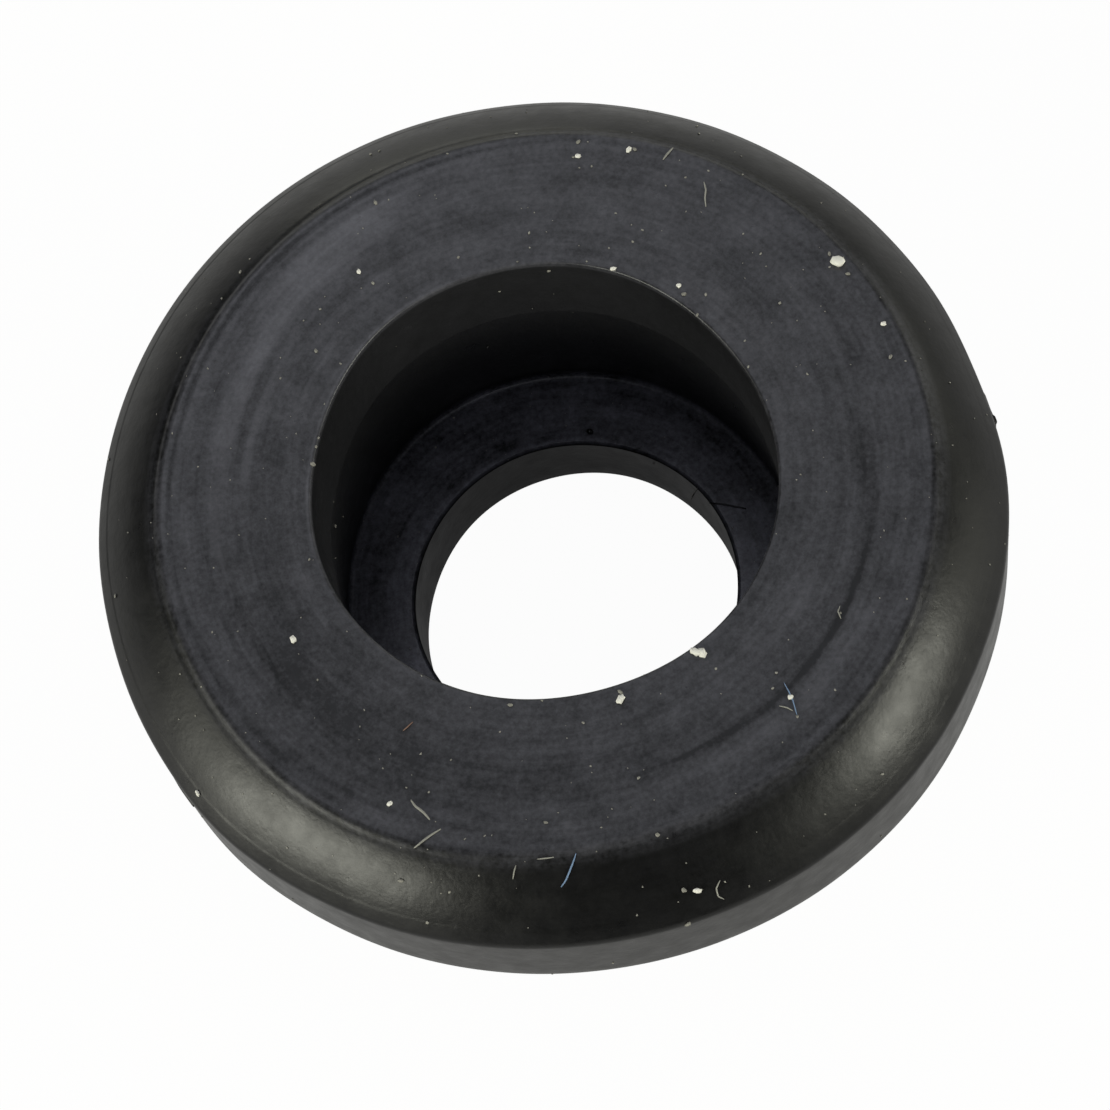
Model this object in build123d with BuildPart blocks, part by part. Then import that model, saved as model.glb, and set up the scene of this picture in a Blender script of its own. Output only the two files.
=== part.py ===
from build123d import *
import os

# A shift linkage bushing, moulded in one piece from black rubber. A wide flange with a
# sloping edge sits on a plain spigot. The link's boss turns in a deep bore that opens in
# the flange's face, and the link's rod runs on through a smaller hole in the lip below.
# The bores' axis is Z, the spigot ends at z = 0 and the flange's face is on top.
# Sizes are in millimetres.

# What the bushing mates with
boss_diameter = 12.7
rod_diameter = 9.525
lever_hole_diameter = 17.5

# How tightly it holds each of them
boss_play = 0.1
rod_play = 0.1
spigot_squeeze = 0.1

# The flange
flange_diameter = 25.4
flange_thickness = 4.7
slope_width = 2.05
slope_drop = 1.8
slope_bulge = 0.14

# The heights along the bore
overall_height = 11.2
lip_thickness = 2.8
mouth_land = 3.0

# How far the bore widens on each side between the land and the ledge
ledge_flare = 0.5

# How far each edge is rounded or cut back
face_edge_radius = 0.2
slope_foot_radius = 0.35
flange_back_radius = 0.3
mouth_radius = 0.1
ledge_corner_radius = 0.15
rod_hole_bevel = 0.1
spigot_lead_in = 0.6

# What follows from the sizes above
face_diameter = flange_diameter - 2 * slope_width
boss_bore_diameter = boss_diameter + boss_play
rod_bore_diameter = rod_diameter + rod_play
spigot_diameter = lever_hole_diameter + spigot_squeeze
ledge_diameter = boss_bore_diameter + 2 * ledge_flare
spigot_length = overall_height - flange_thickness
slope_foot_height = overall_height - slope_drop
land_foot_height = overall_height - mouth_land


def corner(section, diameter, height):
    """The section's corner that turns into the round edge of this diameter and height."""
    at_height = [point for point in section.vertices() if abs(point.Y - height) < 1e-4]
    return [point for point in at_height if abs(2 * point.X - diameter) < 1e-4]


def rim(diameter, height):
    """The bushing's round edge of this diameter at this height."""
    circles = bushing.edges().filter_by(GeomType.CIRCLE)
    at_height = [edge for edge in circles if abs(edge.arc_center.Z - height) < 1e-4]
    return [edge for edge in at_height if abs(2 * edge.radius - diameter) < 1e-4]


with BuildPart() as bushing:
    # The flange and the spigot: half of their section, turned about the axis
    with BuildSketch(Plane.XZ) as body_section:
        with BuildLine():
            Polyline(
                (0, overall_height),
                (0, 0),
                (spigot_diameter / 2, 0),
                (spigot_diameter / 2, spigot_length),
                (flange_diameter / 2, spigot_length),
                (flange_diameter / 2, slope_foot_height),
            )
            # The slope swells a little outward between its foot and the face
            SagittaArc(
                (flange_diameter / 2, slope_foot_height),
                (face_diameter / 2, overall_height),
                -slope_bulge,
            )
            Line((face_diameter / 2, overall_height), (0, overall_height))
        make_face()
        face_edge = corner(body_section, face_diameter, overall_height)
        fillet(face_edge, radius=face_edge_radius)
        slope_foot = corner(body_section, flange_diameter, slope_foot_height)
        fillet(slope_foot, radius=slope_foot_radius)
    revolve(axis=Axis.Z)

    # The boss's bore: a straight land at the mouth, then a flare down to the ledge
    with BuildSketch(Plane.XZ):
        with BuildLine():
            Polyline(
                (0, overall_height),
                (boss_bore_diameter / 2, overall_height),
                (boss_bore_diameter / 2, land_foot_height),
                (ledge_diameter / 2, lip_thickness),
                (0, lip_thickness),
                close=True,
            )
        make_face()
    revolve(axis=Axis.Z, mode=Mode.SUBTRACT)

    # The rod's hole through the lip
    with Locations((0, 0, lip_thickness)):
        Hole(radius=rod_bore_diameter / 2)

    # The moulding's other rounded edges, from the flange's rim inward and down
    fillet(rim(flange_diameter, spigot_length), radius=flange_back_radius)
    fillet(rim(boss_bore_diameter, overall_height), radius=mouth_radius)
    fillet(rim(ledge_diameter, lip_thickness), radius=ledge_corner_radius)

    # Both ends of the rod's hole are broken, and the spigot's end is cut back so that it
    # starts into the lever's hole
    chamfer(rim(rod_bore_diameter, lip_thickness), length=rod_hole_bevel)
    chamfer(rim(rod_bore_diameter, 0), length=rod_hole_bevel)
    chamfer(rim(spigot_diameter, 0), length=spigot_lead_in)

bushing.part.label = "bushing"

os.makedirs("parts", exist_ok=True)
export_step(bushing.part, "parts/bushing.step")
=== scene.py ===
# %% [markdown]
# # Dressing a shift linkage bushing
# The real thing is one moulding of black rubber, about an inch across: a wide flange with a
# sloping edge, a deep bore for the link's boss, and a smaller hole for its rod. Its shape is
# simple, so what makes it look real is small: the faint rings that the mould's turned
# surface left in its face, a rim that is no longer quite round, a torn bit of flash, and the
# dust and lint that black rubber always picks up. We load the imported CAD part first. It is
# the frame: every piece that we make goes where the CAD says.

import bmesh
import bpy
import numpy as np
from mathutils import Matrix, Vector
from mathutils.bvhtree import BVHTree


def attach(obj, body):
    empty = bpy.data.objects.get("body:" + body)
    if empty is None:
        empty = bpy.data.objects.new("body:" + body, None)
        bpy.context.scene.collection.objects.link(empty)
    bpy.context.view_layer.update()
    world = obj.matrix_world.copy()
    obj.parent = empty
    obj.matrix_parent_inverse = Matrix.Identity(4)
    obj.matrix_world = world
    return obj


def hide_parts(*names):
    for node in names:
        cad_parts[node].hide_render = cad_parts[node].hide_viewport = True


MM = 0.001
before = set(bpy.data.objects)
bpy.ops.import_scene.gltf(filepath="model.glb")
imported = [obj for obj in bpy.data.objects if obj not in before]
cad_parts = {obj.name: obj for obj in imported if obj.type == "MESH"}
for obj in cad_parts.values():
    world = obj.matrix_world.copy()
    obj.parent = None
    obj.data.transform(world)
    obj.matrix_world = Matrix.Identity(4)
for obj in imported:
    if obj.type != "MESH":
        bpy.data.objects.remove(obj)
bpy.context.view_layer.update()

# %% [markdown]
# ## The camera
# We look down on the flange from 67 degrees above its face, close enough for the back of the
# rim to look smaller than the front. The camera is rolled a little, so the part seems to lean
# to the left. The aim is given on the plane of the flange's face, and the rest follows from
# it: the camera stands off from the aim along its own line of sight.

# %% Place the camera
VIEW_HEIGHT = np.radians(67.1)
VIEW_ROLL = np.radians(-17.15)
VIEW_AIM = Vector((-0.27, -2.32, 11.2)) * MM
VIEW_DISTANCE = 88.0 * MM
LENS_MM, SENSOR_MM = 105.9, 36.0

line_of_sight = Vector((0, np.cos(VIEW_HEIGHT), -np.sin(VIEW_HEIGHT)))
level_right = Vector((1, 0, 0))
level_up = level_right.cross(line_of_sight)
camera_right = level_right * np.cos(VIEW_ROLL) + level_up * np.sin(VIEW_ROLL)
camera_up = camera_right.cross(line_of_sight)
camera_place = VIEW_AIM - line_of_sight * VIEW_DISTANCE

camera = bpy.data.objects.new("camera", bpy.data.cameras.new("camera"))
bpy.context.scene.collection.objects.link(camera)
camera.matrix_world = Matrix.Translation(camera_place) @ Matrix(
    (camera_right, camera_up, -line_of_sight)
).transposed().to_4x4()
camera.data.lens, camera.data.sensor_width = LENS_MM, SENSOR_MM
camera.data.clip_start, camera.data.clip_end = 0.005, 10.0
bpy.context.scene.camera = camera
print("camera at, mm:", [round(x / MM, 1) for x in camera_place])

# %% [markdown]
# ## Helpers for the finishes
# A colour is written as a maker would read it from a chart, as an sRGB hex number, and turned
# into the linear light that Blender works in. One small function adds any node, so that a
# finish below reads as a list of what it is made of.

# %% Colours, nodes and materials


def linear(hex_colour):
    """An sRGB hex colour as linear red, green, blue and alpha: each channel is divided by
    12.92 when it is very dark, and otherwise raised to the power 2.4 after a small offset."""
    srgb = np.array([int(hex_colour[i : i + 2], 16) for i in (1, 3, 5)]) / 255
    low, high = srgb / 12.92, ((srgb + 0.055) / 1.055) ** 2.4
    return (*np.where(srgb <= 0.04045, low, high), 1.0)


def add_node(tree, kind, links=None, inputs=None, **settings):
    """Adds one node: settings by name, values by socket, and links from other sockets."""
    node = tree.nodes.new(kind)
    for name, value in settings.items():
        setattr(node, name, value)
    for socket, value in (inputs or {}).items():
        node.inputs[socket].default_value = value
    for socket, source in (links or {}).items():
        tree.links.new(source, node.inputs[socket])
    return node


def new_material(name):
    """An empty material with only its output node."""
    material = bpy.data.materials.new(name)
    material.use_nodes = True
    material.node_tree.nodes.clear()
    output = material.node_tree.nodes.new("ShaderNodeOutputMaterial")
    return material, material.node_tree, output


def plain_material(name, hex_colour, roughness):
    """One even colour with one roughness."""
    material, tree, output = new_material(name)
    shader = add_node(
        tree,
        "ShaderNodeBsdfPrincipled",
        inputs={"Base Color": linear(hex_colour), "Roughness": roughness},
    )
    tree.links.new(shader.outputs["BSDF"], output.inputs["Surface"])
    return material


# The bloom's grey is the wax's own; its slight blue cast is painted cool light from the panels above.
RUBBER_BLACK, BLOOM_GREY_AND_COOL_LIGHT = "#0a0a0a", "#6a6a72"
print("the rubber's black gives back", round(linear(RUBBER_BLACK)[0], 4), "of the light")

# %% [markdown]
# ## Where on the rubber are we?
# Everything from a turned mould runs in rings, so the finish needs two kinds of place. The
# plain one is the object's own position in millimetres. The round one is the direction from
# the axis together with how far along the section we are: radius minus height, which grows
# across the face, over the slope and down the walls alike. A pattern that is short in the
# second and long in the first makes rings everywhere.

# %% Places for the patterns
rubber, tree, rubber_output = new_material("moulded_black_rubber")
own_place = add_node(tree, "ShaderNodeTexCoord").outputs["Object"]
in_mm = add_node(
    tree, "ShaderNodeVectorMath", operation="SCALE", links={0: own_place}, inputs={"Scale": 1 / MM}
).outputs[0]
xyz = add_node(tree, "ShaderNodeSeparateXYZ", links={0: in_mm}).outputs
across = add_node(tree, "ShaderNodeCombineXYZ", links={0: xyz["X"], 1: xyz["Y"]}).outputs[0]
from_axis = add_node(tree, "ShaderNodeVectorMath", operation="LENGTH", links={0: across})
direction = add_node(tree, "ShaderNodeVectorMath", operation="NORMALIZE", links={0: across})
along = add_node(
    tree,
    "ShaderNodeMath",
    operation="SUBTRACT",
    links={0: from_axis.outputs["Value"], 1: xyz["Z"]},
).outputs[0]
way = add_node(tree, "ShaderNodeSeparateXYZ", links={0: direction.outputs[0]}).outputs
round_place = add_node(
    tree, "ShaderNodeCombineXYZ", links={0: way["X"], 1: way["Y"], 2: along}
).outputs[0]
print("nodes that say where we are:", len(tree.nodes))

# %% [markdown]
# Five patterns cover the rubber, all of them noise. The mould's turned surface gives rings:
# broad ones about 0.4 mm apart and fine ones about 0.1 mm apart. Its bloom lies in patches
# of a millimetre and more, and the rubber's grain shows at about 0.15 mm. Handling has
# polished it in soft clouds of about 0.7 mm.

# %% Rings, patches, grain and clouds


def rings(per_turn, per_mm, detail):
    """Noise drawn out into arcs: a turn round the axis crosses about 6 * per_turn patches,
    and a millimetre of the section crosses per_mm of them."""
    stretched = add_node(
        tree,
        "ShaderNodeVectorMath",
        operation="MULTIPLY",
        links={0: round_place},
        inputs={1: (per_turn, per_turn, per_mm)},
    )
    return add_node(
        tree,
        "ShaderNodeTexNoise",
        links={"Vector": stretched.outputs[0]},
        inputs={"Scale": 1.0, "Detail": detail, "Roughness": 0.55},
    ).outputs[0]


def blotches(per_mm, detail, roughness):
    """Plain noise in the object's own millimetres, per_mm patches to a millimetre."""
    return add_node(
        tree,
        "ShaderNodeTexNoise",
        links={"Vector": in_mm},
        inputs={"Scale": per_mm, "Detail": detail, "Roughness": roughness},
    ).outputs[0]


broad_rings = rings(1.6, 2.6, 2.0)
fine_rings = rings(5.0, 9.0, 4.0)
bloom_patches = blotches(0.8, 6.0, 0.7)
grain = blotches(7.0, 4.0, 0.65)
clouds = blotches(1.4, 3.0, 0.6)
print("nodes with the patterns:", len(tree.nodes))

# %% [markdown]
# ## Black rubber with its bloom
# The real material is black nitrile or natural rubber, filled with soot and pressed in a
# turned steel mould. Its body colour is nearly nothing: what the eye gets is the gloss,
# sharper where handling has polished it and duller in between. A thin grey bloom of wax has
# come to the surface in patches and along the tool's rings, and makes the rubber paler. It
# has stayed on the face and on the ledge inside, and handling has rubbed it off the slope
# and the walls. The ledge is made paler still, as painted light on a ledge that lies in
# shade. The bloom's strength is the sum of the broad rings, the fine rings, the patches and
# the grain, and of the arcs that are painted on the moulding further below under the name
# ring_bloom_and_highlight; one of them is a painted highlight on the mouth's edge. How much
# of it has stayed on each part of the moulding, with the painted light on the ledge, is
# painted there too, as bloom_and_light_cover.

# %% Colour and gloss
BLOOM_SHIFT = -0.63
SHARPEST, DULLEST = 0.20, 0.46


def weighted(terms, shift):
    """The sum of each pattern times its weight, plus a shift, kept between 0 and 1."""
    total = None
    for pattern, weight in terms:
        links = {0: pattern} if total is None else {0: pattern, 2: total}
        inputs = {1: weight, 2: shift} if total is None else {1: weight}
        total = add_node(
            tree, "ShaderNodeMath", operation="MULTIPLY_ADD", links=links, inputs=inputs
        ).outputs[0]
    return add_node(tree, "ShaderNodeClamp", links={"Value": total}).outputs[0]


# arcs of bloom, darker arcs and a painted highlight on the mouth's edge
painted = add_node(tree, "ShaderNodeAttribute", attribute_name="ring_bloom_and_highlight").outputs["Fac"]
# how much bloom stays, with painted light on the shaded ledge
cover = add_node(tree, "ShaderNodeAttribute", attribute_name="bloom_and_light_cover").outputs["Fac"]
bloom = weighted(
    [(broad_rings, 0.4), (fine_rings, 0.2), (bloom_patches, 0.5), (grain, 0.55), (painted, 0.25)],
    BLOOM_SHIFT,
)
bloom_here = add_node(
    tree, "ShaderNodeMath", operation="MULTIPLY", links={0: bloom, 1: cover}
).outputs[0]
colour = add_node(
    tree,
    "ShaderNodeMix",
    data_type="RGBA",
    clamp_factor=False,
    links={0: bloom_here},
    inputs={6: linear(RUBBER_BLACK), 7: linear(BLOOM_GREY_AND_COOL_LIGHT)},
).outputs[2]
gloss = add_node(
    tree,
    "ShaderNodeMapRange",
    links={"Value": clouds},
    inputs={"To Min": SHARPEST, "To Max": DULLEST},
).outputs[0]
print("bloom from five patterns, roughness from", SHARPEST, "to", DULLEST)

# %% [markdown]
# The tool's rings are real grooves a thousandth of a millimetre deep, the clouds are shallow
# waves, and the rubber has a grain as fine as its filler. They only tilt the surface, so
# they are bumps, one on top of the other. The bloom dulls the rubber's skin, so it mirrors a
# little less than bare rubber would.

# %% Relief too fine for the mesh
BUMPS = [
    # pattern, depth in mm
    (fine_rings, 0.001),
    (clouds, 0.015),
    (grain, 0.003),
]
MIRRORED_SHARE = 0.36
normal = None
for pattern, depth in BUMPS:
    links = {"Height": pattern} if normal is None else {"Height": pattern, "Normal": normal}
    inputs = {"Strength": 1.0, "Distance": depth * MM}
    normal = add_node(tree, "ShaderNodeBump", links=links, inputs=inputs).outputs[0]
shader = add_node(
    tree,
    "ShaderNodeBsdfPrincipled",
    links={"Base Color": colour, "Roughness": gloss, "Normal": normal},
    inputs={"Specular IOR Level": MIRRORED_SHARE},
)
tree.links.new(shader.outputs["BSDF"], rubber_output.inputs["Surface"])
print("nodes in the rubber:", len(tree.nodes))

# %% [markdown]
# ## The moulding's section
# Half of the bushing's section is a chain of corners, each with the radius that rounds it. We
# walk round it from the bore's mouth over the flange, down the spigot, and back up through
# the rod's hole, the ledge and the bore. The sizes are the CAD part's own. The slope is not
# straight: it swells a little, and five more corners on a shallow bow make it do so.

# %% Corners of the section, in mm: radius, height, rounding
FACE_EDGE, SLOPE_FOOT, SLOPE_SWELL, BOW_CORNERS = (10.65, 11.20), (12.70, 9.40), 0.15, 5


def bow(start, end, swell, count):
    """Corners between two others on a shallow bow: the straight line between them, pushed
    sideways by swell * 4t(1 - t), where t is the share of the way. Each is rounded by the
    bow's own radius, length squared over 8 * swell, less a little so that arcs don't touch."""
    t = np.linspace(0, 1, count + 2)[1:-1, None]
    start, run = np.array(start), np.array(end) - start
    sideways = np.array([-run[1], run[0]]) / np.hypot(*run)
    points = start + run * t + sideways * swell * 4 * t * (1 - t)
    own_radius = 0.98 * (run @ run) / (8 * swell)
    return [(*point, own_radius) for point in points]


SECTION = np.array(
    [
        # radius, height, rounding
        (6.40, 11.20, 0.10),  # 0: the bore's mouth
        (*FACE_EDGE, 0.38),  # 1: where the face turns into the slope
        *bow(FACE_EDGE, SLOPE_FOOT, SLOPE_SWELL, BOW_CORNERS),
        (*SLOPE_FOOT, 0.35),  # 7: the slope's foot, top of the band
        (12.70, 6.50, 0.30),  # 8: bottom of the band
        (8.80, 6.50, 0.03),  # 9: root of the spigot
        (8.80, 0.60, 0.10),  # 10: the spigot's lead-in
        (8.20, 0.00, 0.10),
        (4.9125, 0.00, 0.03),  # 12: the rod hole's broken edges
        (4.8125, 0.10, 0.03),
        (4.8125, 2.70, 0.03),  # 14
        (4.9125, 2.80, 0.03),
        (6.90, 2.80, 0.15),  # 16: corner of the ledge
        (6.40, 8.20, 1.00),  # 17: where the flare meets the mouth's straight land
    ]
)
CORNERS = len(SECTION)
print("corners:", CORNERS)

# %% [markdown]
# Nothing on a rubber moulding is truly sharp, so each corner becomes a short arc of six
# points. Every point also keeps its place in the list of corners as a number, such as 1.5
# for halfway between corners 1 and 2. The next steps use it to say where something changes.

# %% Round the corners
ROUNDING_STEPS = 6


def rounded_section(corners, steps):
    """Each corner is replaced by an arc: it starts and ends at rounding * tan(turn / 2) from
    the corner along its two sides, and bends between them as a quadratic curve. The third
    column is the corner's number, less or plus the share of the side that the arc takes."""
    points, rounding = corners[:, :2], corners[:, 2]
    back = np.roll(points, 1, 0) - points
    ahead = np.roll(points, -1, 0) - points
    side_back, side_ahead = (np.linalg.norm(side, axis=1, keepdims=True) for side in (back, ahead))
    back, ahead = back / side_back, ahead / side_ahead
    turn = np.pi - np.arccos(np.clip((back * ahead).sum(1), -1, 1))
    reach = (rounding * np.tan(turn / 2))[:, None]
    t = np.linspace(0, 1, steps)[None, :, None]
    start, end = (points + back * reach)[:, None], (points + ahead * reach)[:, None]
    arcs = (1 - t) ** 2 * start + 2 * t * (1 - t) * points[:, None] + t**2 * end
    share = (1 - t[..., 0]) * -(reach / side_back) + t[..., 0] * (reach / side_ahead)
    corner = np.arange(len(corners))[:, None] + share
    return np.column_stack([arcs.reshape(-1, 2), corner.ravel()])


section = rounded_section(SECTION, ROUNDING_STEPS)
print("section points:", len(section))

# %% [markdown]
# Between the corners the section needs points too, or fine relief would have nothing to push.
# The face and the slope are seen up close, so they get a point every 0.06 mm. The spigot's
# outside is plain and gets one every 0.7 mm. Cutting a run evenly keeps its ends in place.

# %% Points along the straight runs
FINE_STEP, MIDDLE_STEP, COARSE_STEP = 0.06, 0.20, 0.70


def longest_step(radius, height):
    """How far apart points may be, in mm: fine on the face and the slope, middling on the
    band and in the bore, and coarse on the back, the spigot and the rod's hole."""
    on_top = (height > 9.3) & (radius > 6.3)
    in_bore = (height > 2.7) & (radius < 7.0)
    on_band = (height > 6.6) & (radius > 12.0)
    return np.select([on_top, on_band | in_bore], [FINE_STEP, MIDDLE_STEP], COARSE_STEP)


def subdivided(loop):
    """Each run of a closed loop is cut into equal parts no longer than the longest step. The
    corner number runs on between two corners, and past the last one it runs up to the count."""
    following = np.roll(loop, -1, 0)
    following[-1, 2] += CORNERS
    lengths = np.linalg.norm((following - loop)[:, :2], axis=1)
    middle = (following + loop) / 2
    parts = np.ceil(lengths / longest_step(middle[:, 0], middle[:, 1])).astype(int)
    run = np.repeat(np.arange(len(loop)), parts)
    part = np.arange(len(run)) - np.repeat(np.cumsum(parts) - parts, parts)
    return loop[run] + (following - loop)[run] * (part / parts[run])[:, None]


section = subdivided(section)
radius, height, corner = section.T[:, :, None]
print("section points now:", len(section))

# %% [markdown]
# ## No longer quite round
# Rubber that was pulled from its mould, packed and handled doesn't stay a true circle. The
# departures of the photograph's circles from perfect ones were measured, and are written
# down here in millimetres: the rim every 10 degrees, the other circles every 30 degrees,
# counted from the right-hand side and away from us. A separate program compared the
# photograph's circles with perfect ones. Nearly all numbers for the rim and most for the
# mouth are that program's own, and the others were set by eye from it. The rim is flattened
# at the back on the right, where flash was torn away, and full at the back on the left.
# Each circle lies at a corner of the section, and between two of them the departure changes
# evenly.

# %% Departures from round
RIM_DEPARTURE = [
    *(-0.32, -0.33, -0.33, -0.30, -0.26, -0.19, -0.12, -0.04, 0.03, 0.11, 0.17, 0.20),
    *(0.20, 0.18, 0.15, 0.11, 0.08, 0.05, 0.02, 0.04, 0.09, 0.15, 0.11, 0.07),
    *(0.04, 0.01, 0.00, 0.01, 0.04, 0.06, 0.07, 0.05, 0.00, -0.02, -0.05, -0.16),
]
MOUTH_DEPARTURE = [-0.04, -0.09, 0.06, 0.12, 0.10, -0.03, 0.0, 0.0, -0.02, -0.01, 0.12, 0.11]
FACE_EDGE_DEPARTURE = [-0.05, -0.05, -0.03, -0.05, -0.08, -0.04, 0.0, 0.12, 0.10, -0.10, 0.10, 0.05]
LEDGE_DEPARTURE = [-0.05, -0.08, 0.05, 0.18, 0.18, -0.05, -0.08, 0.0, 0.0, 0.0, 0.0, 0.0]
HOLE_DEPARTURE = [0.05, 0.06, 0.08, 0.06, 0.0, -0.06, 0.0, 0.0, 0.0, 0.0, 0.0, 0.0]
HOLE_TOP_DEPARTURE = [0.0, -0.04, -0.12, -0.12, -0.12, -0.08, 0.0, 0.0, 0.0, 0.0, 0.0, 0.0]
ROUND = [0.0] * 12
AROUND = 288


def smooth_round(table):
    """A table round the axis, filled in to AROUND values by the waves that fit it exactly."""
    return np.fft.irfft(np.fft.rfft(table), AROUND) * AROUND / len(table)


stations = {
    # corner of the section: departure there
    0: MOUTH_DEPARTURE,
    1: FACE_EDGE_DEPARTURE,
    7: RIM_DEPARTURE,
    8: RIM_DEPARTURE,
    9: ROUND,
    11: ROUND,
    12: HOLE_DEPARTURE,
    13: HOLE_DEPARTURE,
    14: HOLE_TOP_DEPARTURE,
    15: HOLE_TOP_DEPARTURE,
    16: LEDGE_DEPARTURE,
    CORNERS: MOUTH_DEPARTURE,
}
tables = np.array([smooth_round(table) for table in stations.values()])
share = [np.interp(corner[:, 0], list(stations), unit) for unit in np.eye(len(stations))]
departure = np.array(share).T @ tables
print("departures from round, mm:", departure.min().round(2), "to", departure.max().round(2))

# %% [markdown]
# ## Steps and grooves in the face
# Low light shows three rings in the real face that are deep enough to catch it. The mould's
# insert left a step a few hundredths of a millimetre high at radius 9. Two thin grooves run
# beside the face's edge, one on each side. All three come and go round the flange, most
# clearly at the back on the left, so each has its own strength round the axis.

# %% Heights of the rings
angles = np.linspace(0, 2 * np.pi, AROUND, endpoint=False)


def strongest_at(azimuth, width, floor_share):
    """A strength round the axis: 1 at the azimuth, falling off as a bell of that width in
    degrees to a share that stays everywhere."""
    away = np.abs((np.degrees(angles) - azimuth + 180) % 360 - 180)
    return floor_share + (1 - floor_share) * np.exp(-((away / width) ** 2))


def groove(at, width):
    """A groove's depth across it: 1 in its middle, falling off as a bell."""
    return np.exp(-(((radius - at) / width) ** 2))


def step_down(at, width):
    """A smooth step: 0 inside it and 1 outside it."""
    t = np.clip((radius - at) / width + 0.5, 0, 1)
    return t * t * (3 - 2 * t)


INSERT_STEP, GROOVE_DEPTH, EDGE_GROOVE_DEPTH = 0.030, 0.016, 0.030
from_top = (height > 9.8) * 1.0
# How far the rings stray from a true circle, in mm
wander = 0.05 * np.sin(3 * angles + 0.6) + 0.03 * np.sin(7 * angles)
relief = -INSERT_STEP * step_down(9.0 + wander, 0.55) * strongest_at(130, 80, 0.6)
relief = relief - GROOVE_DEPTH * groove(10.42 + 0.5 * wander, 0.07) * strongest_at(125, 55, 0.1)
relief = relief - EDGE_GROOVE_DEPTH * groove(10.84, 0.08) * strongest_at(125, 65, 0.1)
# Past the face's edge half of the insert's step is given back: the slope stays near its place
relief = relief * from_top + INSERT_STEP / 2 * from_top * step_down(10.9, 0.5)
print("deepest relief, mm:", relief.min().round(3))

# %% [markdown]
# ## The moulding
# The section is carried round the axis. Every vertex is worked out at once: a row of angles
# against a column of section points, with the departure from round added to the radius and
# the relief to the height. Both ways round, the grid closes on itself, so there is no seam.

# %% Carry the section round the axis


def add_piece(name, vertices, faces, material):
    """Makes one piece of the visual model from points in mm and corner numbers. It rides on
    the CAD's one body and stands in for the CAD's one part."""
    mesh = bpy.data.meshes.new(name)
    mesh.from_pydata(np.asarray(vertices) * MM, [], faces)
    mesh.shade_smooth()
    mesh.materials.append(material)
    piece = bpy.data.objects.new(name, mesh)
    bpy.context.scene.collection.objects.link(piece)
    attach(piece, "root")
    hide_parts("bushing")
    return piece


def grid_faces(rows, columns):
    """Squares over a grid that wraps round both ways: each joins a point, the next along the
    section, and the two beside them round the axis."""
    i, j = np.meshgrid(np.arange(rows), np.arange(columns), indexing="ij")
    next_i, next_j = (i + 1) % rows, (j + 1) % columns
    square = [i * columns + j, next_i * columns + j, next_i * columns + next_j, i * columns + next_j]
    return np.stack(square, -1).reshape(-1, 4)


ring_radius = radius + departure
ring_grid = np.stack(
    [ring_radius * np.cos(angles), ring_radius * np.sin(angles), height + relief], -1
)
ring_vertices, ring_faces = ring_grid.reshape(-1, 3), grid_faces(len(section), AROUND).tolist()
moulding = add_piece("moulded_ring", ring_vertices, ring_faces, rubber)
print("moulding:", len(ring_faces), "squares")

# %% [markdown]
# The clearest arcs of bloom are painted where the photograph has them. Each is a ring with
# its own radius and width that shows over part of the turn only. A negative strength is a
# darker arc. The pale arc on the mouth's edge at the back is no bloom but a painted
# highlight, where the edge's rounding catches the light. The cover says how much bloom has
# stayed: all of it on the face, hardly any on the slope and the band, none in the bore, and
# most on the ledge, where nothing has ever rubbed; there it is tripled, which is also
# painted light on a ledge that lies in shade.

# %% Painted arcs of bloom, and a painted highlight on the mouth's edge
BLOOM_AND_HIGHLIGHT_ARCS = [
    # radius, width, azimuth, half-width in degrees, strength
    (9.02, 0.30, 132, 36, 1.5),
    (9.60, 0.36, 112, 17, 1.3),
    (7.60, 0.25, 100, 20, 0.5),
    (8.27, 0.16, 150, 18, 0.9),
    (9.90, 0.14, 108, 14, 0.8),
    (10.22, 0.06, 120, 45, 0.7),
    (10.58, 0.05, 120, 45, 0.6),
    (10.42, 0.05, 118, 50, -0.9),
    (10.86, 0.10, 122, 60, -0.8),
    (9.02, 0.10, -45, 18, -1.2),
    (8.98, 0.08, -77, 12, -1.0),
    (8.72, 0.22, -18, 14, -0.5),
    (9.60, 0.20, -60, 30, 0.4),
    # the mouth's edge at the back: a painted highlight where its rounding catches the light
    (6.45, 0.07, 130, 70, 1.2),
    (8.40, 1.60, 210, 45, -0.5),
]
# bloom arcs, darker arcs and the painted highlight on the mouth's edge
ring_bloom_and_highlight = sum(
    strength * groove(at + 0.4 * wander, width) * strongest_at(azimuth, half_width, 0.0)
    for at, width, azimuth, half_width, strength in BLOOM_AND_HIGHLIGHT_ARCS
)
ring_bloom_and_highlight = ring_bloom_and_highlight * from_top

# On the ledge the bloom is tripled: bloom, and painted light on a ledge that lies in shade.
FACE_COVER, RUBBED_COVER, LEDGE_BLOOM_AND_LIGHT = 1.0, 0.08, 3.0
on_ledge = (height < 3.0) & (height > 2.75) & (radius > 4.85) & (radius < 7.0)
in_bore = (height < 11.0) & (radius < 7.0)
bloom_and_light_cover = np.interp(height, [10.9, 11.15], [RUBBED_COVER, FACE_COVER])
bloom_and_light_cover = np.where(in_bore, 0.0, bloom_and_light_cover)
bloom_and_light_cover = np.where(on_ledge, LEDGE_BLOOM_AND_LIGHT, bloom_and_light_cover)


def paint(name, values):
    """Writes one number to each point of the moulding under a name that materials can read.
    A column of numbers holds all the way round."""
    layer = moulding.data.attributes.new(name, "FLOAT", "POINT")
    layer.data.foreach_set("value", np.broadcast_to(values, ring_radius.shape).ravel())


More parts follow.
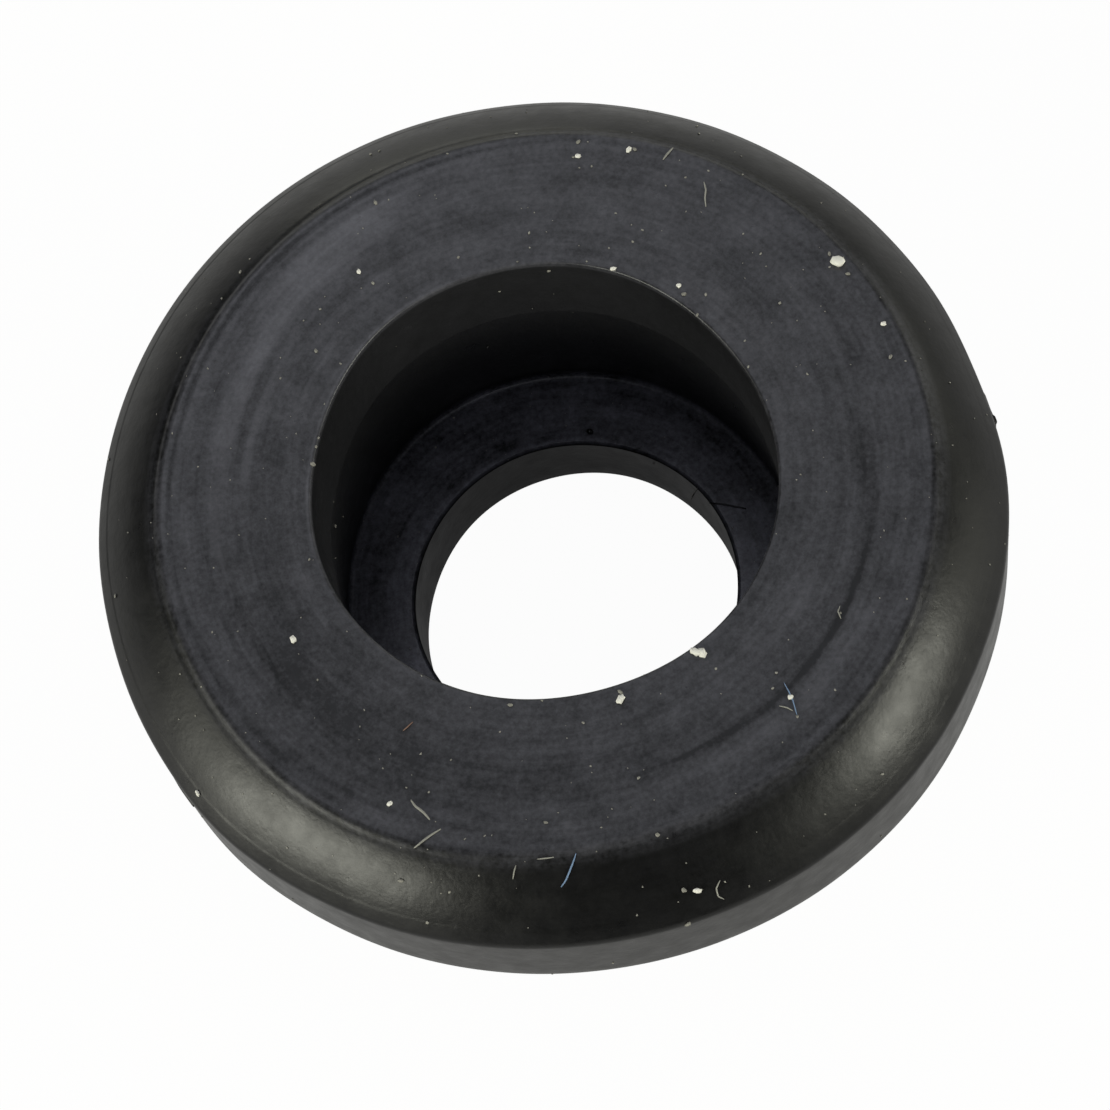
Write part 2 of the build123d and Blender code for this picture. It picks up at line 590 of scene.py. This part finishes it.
paint("ring_bloom_and_highlight", ring_bloom_and_highlight)
paint("bloom_and_light_cover", bloom_and_light_cover)
print("painted bloom:", ring_bloom_and_highlight.min().round(2), "to", ring_bloom_and_highlight.max().round(2))

# %% [markdown]
# ## Finding the rubber under a pixel
# The crumbs and fibres are given by their pixels in the photograph, which is 1110 pixels
# wide. To lay one where it belongs, we send a ray from the camera through its pixel and see
# where it meets the moulding.

# %% Ray from the camera
PHOTO_WIDTH = 1110
FOCAL_PIXELS = LENS_MM / SENSOR_MM * PHOTO_WIDTH
rubber_tree = BVHTree.FromPolygons(ring_vertices.tolist(), ring_faces)
camera_mm = camera_place / MM


def surface_under(column, row):
    """The point under a pixel, in mm, and its outward direction: the ray is the line of
    sight times the focal length, plus the pixel's distance from the middle, right and up."""
    sideways, upwards = column - PHOTO_WIDTH / 2, PHOTO_WIDTH / 2 - row
    ray = line_of_sight * FOCAL_PIXELS + camera_right * sideways + camera_up * upwards
    place, outward = rubber_tree.ray_cast(camera_mm, ray.normalized())[:2]
    return np.array(place), np.array(outward)


FRONT_OF_FACE = (560, 770)
print("under pixel", FRONT_OF_FACE, "in mm:", surface_under(*FRONT_OF_FACE)[0].round(2))

# %% [markdown]
# ## Grit
# Dust on rubber is crumbs of many kinds: mould talc, grit, flecks of skin. One rough pebble,
# a ball cut from a few triangles, is copied for all of them. Each copy has its own size and
# lumps, lies flat on the rubber and sinks into it a little.

# %% A pebble and its copies
LUMPS, FLATTENED, RISE = 0.25, 0.65, 0.4


def pebble(cuts):
    """The corners and triangles of a ball of radius 1, cut from an icosahedron."""
    ball = bmesh.new()
    bmesh.ops.create_icosphere(ball, subdivisions=cuts, radius=1.0)
    corners = np.array([v.co for v in ball.verts])
    triangles = np.array([[v.index for v in face.verts] for face in ball.faces])
    ball.free()
    return corners, triangles


def laid_out(shape, places, outward, sizes, random):
    """Copies of a pebble: each corner is pushed in or out by up to a quarter, stretched along
    a random side, flattened to two thirds, turned square to the surface and moved there."""
    corners, triangles = shape
    count = len(places)
    aside = np.cross(outward, random.normal(size=(count, 3)))
    aside /= np.linalg.norm(aside, axis=1, keepdims=True)
    axes = np.stack([aside, np.cross(outward, aside), outward], 1)
    lumps = 1 + LUMPS * random.uniform(-1, 1, (count, len(corners), 1))
    stretch = np.stack([random.uniform(1.0, 1.4, count), random.uniform(0.7, 1.0, count)], 1)
    stretch = np.column_stack([stretch, np.full(count, FLATTENED)])[:, None] * sizes[:, None, None]
    points = np.einsum("nck,nkj->ncj", corners * lumps * stretch, axes)
    points += (places + outward * sizes[:, None] * RISE)[:, None]
    faces = triangles + (np.arange(count) * len(corners))[:, None, None]
    return points.reshape(-1, 3), faces.reshape(-1, 3).tolist()


print("a pebble cut twice has", len(pebble(2)[1]), "triangles")

# %% [markdown]
# The crumbs that the photograph shows are set down one by one, from the list of their pixels
# and their radii in pixels. A separate program that finds bright spots gave 54 of the 71
# places, and 42 of those with their radius. The rest was added or changed by eye. A pixel is
# about 0.028 mm here. The photograph's lens spreads a small crumb's light, so its true size
# is less than its spot. The large ones are nearly white, and the small ones are so thin that
# the black shows through and greys them.

# %% Crumbs seen in the photograph
MM_PER_PIXEL = 0.0275
CRUMBS = np.array(
    [
        # column, row, radius of its spot
        *[(837.7, 262.8, 7.4), (847.8, 274.2, 3.1), (829.2, 254.1, 2.7), (883.3, 324.0, 3.5)],
        *[(890.4, 357.2, 3.0), (695.5, 652.5, 5.8), (702.5, 653.5, 5.0), (629.0, 150.1, 4.2)],
        *[(634.5, 149.6, 3.0), (293.6, 639.7, 4.8), (790.6, 697.3, 3.6), (678.9, 286.0, 3.6)],
        *[(578.0, 156.6, 3.6), (573.5, 157.4, 2.4), (697.1, 889.9, 4.0), (683.7, 889.7, 3.2)],
        *[(359.0, 271.8, 3.8), (613.1, 269.1, 3.7), (389.6, 803.8, 3.5), (687.9, 923.5, 3.3)],
        *[(578.2, 142.1, 3.0), (312.7, 464.4, 3.2), (657.5, 834.5, 3.0), (548.9, 270.3, 2.8)],
        *[(375.6, 202.7, 3.0), (683.7, 294.3, 2.9), (316.1, 351.2, 2.9), (401.1, 880.5, 2.9)],
        *[(545.8, 822.7, 2.4), (697.3, 315.1, 2.4), (315.7, 446.8, 2.4), (840.2, 613.3, 2.2)],
        *[(458.6, 257.5, 2.3), (797.3, 716.7, 2.3), (632.7, 241.9, 2.2), (309.3, 559.6, 2.2)],
        *[(685.5, 177.5, 2.1), (499.4, 291.1, 2.0), (586.7, 261.5, 2.0), (591.7, 166.4, 2.0)],
        *[(280.6, 378.3, 1.9), (447.3, 153.8, 1.9), (665.7, 185.7, 1.8), (340.2, 363.5, 1.8)],
        *[(620.0, 692.0, 3.2), (620.4, 699.5, 5.0), (198.5, 793.0, 3.6)],
        *[(179.3, 719.1, 1.7), (825.0, 814.0, 1.7), (212.2, 632.3, 1.5), (636.9, 915.0, 1.5)],
        *[(613.0, 962.7, 1.5), (181.0, 357.5, 1.4), (324.5, 404.0, 1.4), (172.3, 433.5, 1.4)],
        *[(778.5, 486.0, 1.4), (317.5, 680.0, 1.4), (484.8, 835.8, 1.6), (579.4, 167.8, 1.3)],
        *[(517.4, 261.8, 1.3), (207.8, 368.6, 1.3), (441.0, 893.0, 1.6), (465.0, 839.0, 1.6)],
        *[(609.0, 248.0, 1.5), (341.0, 364.0, 1.3), (451.0, 760.0, 1.3), (204.0, 730.0, 1.3)],
        *[(510.2, 704.9, 2.8), (612.0, 809.0, 1.4), (881.0, 836.0, 1.5), (907.0, 599.0, 1.5)],
    ]
)
SPREAD, LEAST_RADIUS, LARGE_SPOT = 0.9, 0.9, 3.4
random = np.random.default_rng(5)
found = [surface_under(column, row) for column, row, _ in CRUMBS]
crumb_places, crumb_outward = (np.array(side) for side in zip(*found))
crumb_sizes = np.maximum(CRUMBS[:, 2] - SPREAD, LEAST_RADIUS) * MM_PER_PIXEL
large = CRUMBS[:, 2] > LARGE_SPOT
for name, chosen, hex_colour in [("large", large, "#eceae2"), ("small", ~large, "#85837c")]:
    crumbs = laid_out(
        pebble(2), crumb_places[chosen], crumb_outward[chosen], crumb_sizes[chosen], random
    )
    add_piece(f"grit_{name}", *crumbs, plain_material(f"grit_{name}_crumbs", hex_colour, 0.7))
print("crumbs:", len(CRUMBS), "the largest", round(2 * crumb_sizes.max(), 2), "mm across")

# %% [markdown]
# The rest of the dust is too fine to list. It settles on what faces upward, so we pick
# squares of the moulding with a chance that grows with their area and with how far they face
# up, plus a little for what clings to a wall. On each we drop a crumb of a few hundredths
# of a millimetre. The seed keeps them where they are.

# %% Fine dust
FINE_DUST, CLINGING = 420, 0.12
LEAST_DUST, DUST_SPREAD = 0.012, 0.016
mesh = moulding.data
areas, normals, centres = (np.empty(len(mesh.polygons) * k) for k in (1, 3, 3))
mesh.polygons.foreach_get("area", areas)
mesh.polygons.foreach_get("normal", normals)
mesh.polygons.foreach_get("center", centres)
normals, centres = normals.reshape(-1, 3), centres.reshape(-1, 3) / MM
chance = areas * (CLINGING + np.clip(normals[:, 2], 0, 1))
picked = random.choice(len(areas), FINE_DUST, p=chance / chance.sum())
dust_sizes = LEAST_DUST + DUST_SPREAD * random.exponential(0.6, FINE_DUST).clip(0, 2.5)
dust = laid_out(pebble(1), centres[picked], normals[picked], dust_sizes, random)
add_piece("grit_fine_dust", *dust, plain_material("grey_dust", "#8f8d86", 0.8))
print("fine dust:", FINE_DUST, "specks,", len(dust[1]), "triangles")

# %% [markdown]
# ## Lint
# A few short fibres from cloth and cardboard cling to the rubber. Each is a thin tube along
# the pixels where it was seen. It tapers at both ends and lifts off the surface a little in
# its middle.

# %% Tubes along the rubber
CLEARANCE = 0.012


def tube(spine, thickness, sides=7):
    """A closed tube along a row of points: at each point a ring of that radius stands square
    to the spine, and a flat cap closes each end."""
    ahead = np.gradient(spine, axis=0)
    ahead /= np.linalg.norm(ahead, axis=1, keepdims=True)
    side = np.cross(ahead, (0.0, 0.0, 1.0)) + 1e-9  # never quite nothing
    side /= np.linalg.norm(side, axis=1, keepdims=True)
    over = np.cross(side, ahead)
    turn = np.linspace(0, 2 * np.pi, sides, endpoint=False)[None, :, None]
    rings_of_points = side[:, None] * np.cos(turn) + over[:, None] * np.sin(turn)
    points = spine[:, None] + rings_of_points * thickness[:, None, None]
    i, j = np.meshgrid(np.arange(len(spine) - 1), np.arange(sides), indexing="ij")
    next_j = (j + 1) % sides
    square = [(i + 1) * sides + j, (i + 1) * sides + next_j, i * sides + next_j, i * sides + j]
    faces = np.stack(square, -1).reshape(-1, 4).tolist()
    last = (len(spine) - 1) * sides
    caps = [list(range(sides)), list(range(last, last + sides))[::-1]]
    return points.reshape(-1, 3), faces + caps


def along_surface(pixels, steps, lift):
    """A smooth row of points over the rubber: the pixels are joined by straight runs, each
    place is looked up under its pixel, and the row rises by lift in its middle."""
    pixels = np.array(pixels, float)
    run = np.concatenate([[0], np.cumsum(np.hypot(*np.diff(pixels, axis=0).T))])
    t = np.linspace(0, run[-1], steps)
    columns, rows = (np.interp(t, run, pixels[:, k]) for k in (0, 1))
    bend = np.array([0.25, 0.5, 0.25])
    columns[1:-1], rows[1:-1] = (np.convolve(line, bend, "valid") for line in (columns, rows))
    points, outward = (np.array(x) for x in zip(*[surface_under(*p) for p in zip(columns, rows)]))
    arch = np.sin(np.linspace(0, np.pi, steps))[:, None]
    return points + outward * (CLEARANCE + lift * arch)


def joined(shapes):
    """Several shapes as one: the corner numbers of each run on from the one before."""
    starts = np.cumsum([0] + [len(points) for points, _ in shapes])
    faces = [[[c + start for c in face] for face in shape[1]] for shape, start in zip(shapes, starts)]
    return np.concatenate([points for points, _ in shapes]), sum(faces, [])


straight_tube = tube(np.linspace((0, 0, 0), (1, 0, 0), 3), np.ones(3))
print("a tube along three points has", len(straight_tube[1]), "faces")

# %% [markdown]
# The cotton ones are pale, two are blue and one is a faded red. They are as thick as they
# show in the photograph, where the lens has spread them a little.

# %% Fibres seen in the photograph
PALE_FIBRES = [
    # thickness in mm, then the pixels it runs through
    (0.065, [(411, 800), (415, 806), (424, 813), (430, 820)]),
    (0.061, [(441, 829), (433, 834), (422, 842), (414, 848)]),
    (0.058, [(663, 160), (667, 155), (673, 148)]),
    (0.049, [(704, 182), (706, 190), (705, 198), (706, 207)]),
    (0.043, [(537, 859), (545, 858), (554, 857)]),
    (0.038, [(516, 865), (514, 872), (513, 879)]),
    (0.043, [(720, 880), (716, 888), (718, 896), (724, 899)]),
    (0.038, [(779, 706), (787, 708), (793, 711)]),
    (0.032, [(691, 500), (694, 493), (698, 488)]),
    (0.032, [(840, 606), (838, 612), (841, 619)]),
]
BLUE_FIBRES = [
    (0.049, [(561, 887), (566, 880), (570, 870), (574, 860), (576, 853)]),
    (0.035, [(784, 683), (789, 692), (793, 701), (797, 715)]),
]
RED_FIBRES = [(0.038, [(403, 731), (408, 727), (413, 722)])]
FIBRE_STEPS, FIBRE_LIFT = 22, 0.02


def fibres(name, listed, material):
    """All fibres of one colour as one piece, each thinning to a third at its ends."""
    taper = 0.33 + 0.67 * np.sin(np.linspace(0, np.pi, FIBRE_STEPS)) ** 0.5
    shapes = [
        tube(along_surface(pixels, FIBRE_STEPS, FIBRE_LIFT), taper * thickness / 2)
        for thickness, pixels in listed
    ]
    add_piece(name, *joined(shapes), material)


fibres("lint_pale", PALE_FIBRES, plain_material("pale_cotton_lint", "#92918a", 0.7))
fibres("lint_blue", BLUE_FIBRES, plain_material("blue_lint", "#7088a8", 0.7))
fibres("lint_red", RED_FIBRES, plain_material("red_lint", "#7d6255", 0.7))
print("fibres:", len(PALE_FIBRES) + len(BLUE_FIBRES) + len(RED_FIBRES))

# %% [markdown]
# ## Flash and other marks of the mould
# Where the mould's halves met, a skin of rubber squeezed out and was torn off by hand. It
# left rough strips on the rim, two on the right and one on the left. On the ledge inside
# stands one small pip, and beside it a crease. They are the same rubber as the rest.

# %% Torn flash on the rim
STRIP_STEPS = 24


def rim_strip(azimuths, heights, outward, thickness):
    """A lumpy strip on the rim: a tube that follows the rim between two azimuths and two
    heights. It stands off the rim by outward and has the given radii, both spread evenly."""
    t = np.linspace(0, 1, STRIP_STEPS)
    azimuth = np.radians(azimuths[0] + (azimuths[1] - azimuths[0]) * t)
    even = np.linspace(0, 1, len(thickness))
    out_of_round = np.interp(azimuth, angles, smooth_round(RIM_DEPARTURE), period=2 * np.pi)
    rim = SLOPE_FOOT[0] + out_of_round
    reach = rim + np.interp(t, np.linspace(0, 1, len(outward)), outward)
    rise = heights[0] + (heights[1] - heights[0]) * t
    spine = np.stack([reach * np.cos(azimuth), reach * np.sin(azimuth), rise], -1)
    return tube(spine, np.interp(t, even, thickness), sides=10)


FLASH = [
    # azimuths, heights, how far out, radii
    ((-1.0, -8.6), (9.1, 8.9), (-0.06, -0.01, 0.00, 0.01, -0.05), (0.03, 0.07, 0.06, 0.08, 0.03)),
    ((-5.4, -7.2), (9.0, 8.9), (0.00, 0.06, 0.08, 0.01), (0.03, 0.06, 0.05, 0.02)),
    ((-164.0, -155.6), (9.0, 8.9), (-0.08, -0.06, -0.04, -0.03), (0.03, 0.05, 0.07, 0.07)),
]
add_piece("torn_flash", *joined([rim_strip(*strip) for strip in FLASH]), rubber)
print("strips of flash:", len(FLASH))

# %% Pip and crease on the ledge
PIP_PIXEL, PIP_RADIUS = (590, 432), 0.10
CREASE_PIXELS, CREASE_RADIUS, CREASE_LIFT = [(710, 503), (726, 505), (746, 509)], 0.025, 0.01
pip_place, pip_outward = surface_under(*PIP_PIXEL)
pip = laid_out(pebble(3), pip_place[None], pip_outward[None], np.array([PIP_RADIUS]), random)
crease = tube(
    along_surface(CREASE_PIXELS, FIBRE_STEPS, CREASE_LIFT), np.full(FIBRE_STEPS, CREASE_RADIUS)
)
add_piece("ledge_marks", *joined([pip, crease]), rubber)
print("pip at, mm:", pip_place.round(2))

# %% [markdown]
# ## The table
# The part stands on a plain white card, a square wide enough to fill every view.

# %% Floor
FLOOR_HALF = 1.5
floor_mesh = bpy.data.meshes.new("floor")
floor_corners = [(-1, -1, 0), (1, -1, 0), (1, 1, 0), (-1, 1, 0)]
floor_mesh.from_pydata([Vector(c) * FLOOR_HALF for c in floor_corners], [], [(0, 1, 2, 3)])
floor = bpy.data.objects.new("floor", floor_mesh)
bpy.context.scene.collection.objects.link(floor)
print("the floor is", 2 * FLOOR_HALF, "m wide")

# %% [markdown]
# The real card is matt paper. In the photograph it is burnt out to white, so here it also
# glows by itself to the camera, and only a trace of the part's shadow is left. A real light
# tent lights its floor evenly, which our few lamps don't, so the rubber's gloss sees a floor
# of one even grey. The exception is the card inside the rod's hole, where little light
# reaches it: there the gloss sees it nearly as the lamps light it.

# %% White card
CARD_GLOW, CARD_IN_GLOSS, CARD_IN_HOLE = 0.97, 0.8, 0.15
GLOSS_GREY = 0.52
HOLE_SHADE_ENDS, OPEN_CARD_STARTS = 5.5, 9.0
white_card, tree, output = new_material("white_card")
card = add_node(tree, "ShaderNodeBsdfDiffuse", inputs={"Color": linear("#f6f4ea")})
path = add_node(tree, "ShaderNodeLightPath").outputs
card_radius = add_node(
    tree,
    "ShaderNodeVectorMath",
    operation="LENGTH",
    links={0: add_node(tree, "ShaderNodeTexCoord").outputs["Object"]},
).outputs["Value"]
evened_there = add_node(
    tree,
    "ShaderNodeMapRange",
    links={"Value": card_radius},
    inputs={
        "From Min": HOLE_SHADE_ENDS * MM,
        "From Max": OPEN_CARD_STARTS * MM,
        "To Min": CARD_IN_HOLE,
        "To Max": CARD_IN_GLOSS,
    },
).outputs[0]
in_gloss = add_node(
    tree, "ShaderNodeMath", operation="MULTIPLY", links={0: path["Is Glossy Ray"], 1: evened_there}
).outputs[0]
glow_share = add_node(
    tree,
    "ShaderNodeMath",
    operation="MULTIPLY_ADD",
    links={0: path["Is Camera Ray"], 2: in_gloss},
    inputs={1: CARD_GLOW},
).outputs[0]
strength = add_node(
    tree,
    "ShaderNodeMapRange",
    links={"Value": path["Is Glossy Ray"]},
    inputs={"To Min": 1.0, "To Max": GLOSS_GREY},
).outputs[0]
glow = add_node(tree, "ShaderNodeEmission", links={"Strength": strength})
mixed = add_node(
    tree, "ShaderNodeMixShader", links={0: glow_share, 1: card.outputs[0], 2: glow.outputs[0]}
)
tree.links.new(mixed.outputs[0], output.inputs["Surface"])
floor.data.materials.append(white_card)
print("the card gives", CARD_GLOW, "of its white to the camera by itself")

# %% [markdown]
# ## The light
# Black rubber is drawn by what it mirrors. Two softboxes stand low on the right and the left
# and make the two bright patches on the front slope. Nothing stands low in front, so the
# slope between the patches stays nearly black. The face mirrors cool panels over the back.
# The rest are weak panels of a light tent, whose walls the sides and the back mirror. The
# room behind them is dark to the rubber and white to the camera.

# %% Room
ROOM_COLOUR, ROOM_STRENGTH = "#e7edff", 0.03
world = bpy.data.worlds.new("studio")
bpy.context.scene.world = world
world.use_nodes = True
tree = world.node_tree
tree.nodes.clear()
output = tree.nodes.new("ShaderNodeOutputWorld")
path = add_node(tree, "ShaderNodeLightPath")
room = add_node(
    tree,
    "ShaderNodeBackground",
    inputs={"Color": linear(ROOM_COLOUR), "Strength": ROOM_STRENGTH},
)
paper = add_node(
    tree, "ShaderNodeBackground", inputs={"Color": linear("#ffffff"), "Strength": 1.0}
)
mixed = add_node(
    tree,
    "ShaderNodeMixShader",
    links={0: path.outputs["Is Camera Ray"], 1: room.outputs[0], 2: paper.outputs[0]},
)
tree.links.new(mixed.outputs[0], output.inputs["Surface"])
print("the room gives off", ROOM_STRENGTH, "of a full white")

# %% Softboxes
LAMP_DISTANCE = 0.4


def softbox(name, azimuth, elevation, across, tall, radiance, colour):
    """A flat lamp aimed at the part, so many degrees to the right of the camera's side and so
    many up. Its power is radiance * pi * area."""
    a, e = np.radians(azimuth), np.radians(elevation)
    towards = Vector((np.sin(a) * np.cos(e), -np.cos(a) * np.cos(e), np.sin(e)))
    lamp = bpy.data.lights.new(name, "AREA")
    lamp.shape, lamp.size, lamp.size_y = "RECTANGLE", across, tall
    lamp.energy = radiance * np.pi * across * tall
    lamp.color = linear(colour)[:3]
    stand = bpy.data.objects.new(name, lamp)
    bpy.context.scene.collection.objects.link(stand)
    stand.location = towards * LAMP_DISTANCE
    stand.rotation_mode = "QUATERNION"
    stand.rotation_quaternion = towards.to_track_quat("Z", "Y")


COOL, WARM = "#f1f4ff", "#fffff0"
LAMPS = [
    # name, azimuth, elevation, width and height in m, radiance, colour
    ("right_softbox", 56, 22, 0.20, 0.14, 9.8, WARM),
    ("left_softbox", -63, 21, 0.26, 0.14, 9.8, WARM),
    ("overhead_back", 180, 48, 0.20, 0.20, 1.2, COOL),
    ("overhead_high", 180, 66, 0.20, 0.16, 0.9, COOL),
    ("overhead_top", 180, 84, 0.20, 0.16, 0.75, COOL),
    ("overhead_front", 0, 75, 0.20, 0.16, 0.7, COOL),
    ("back_wall", 180, 12, 0.20, 0.14, 1.5, WARM),
    ("back_wall_right", 150, 25, 0.20, 0.20, 1.2, WARM),
    ("right_wall", 115, 20, 0.18, 0.18, 1.0, WARM),
    ("right_low_wall", 85, 10, 0.16, 0.14, 1.2, WARM),
    ("left_wall", -95, 24, 0.16, 0.16, 1.4, WARM),
    ("left_low_wall", -85, 10, 0.14, 0.14, 3.0, WARM),
    ("front_right_gap", 30, 20, 0.14, 0.14, 1.0, WARM),
]
for lamp in LAMPS:
    softbox(*lamp)
print("lamps:", [lamp[0] for lamp in LAMPS])

# %% [markdown]
# ## View settings
# The colours go to the screen as they are written.

# %% Finish
bpy.context.scene.view_settings.view_transform = "Standard"
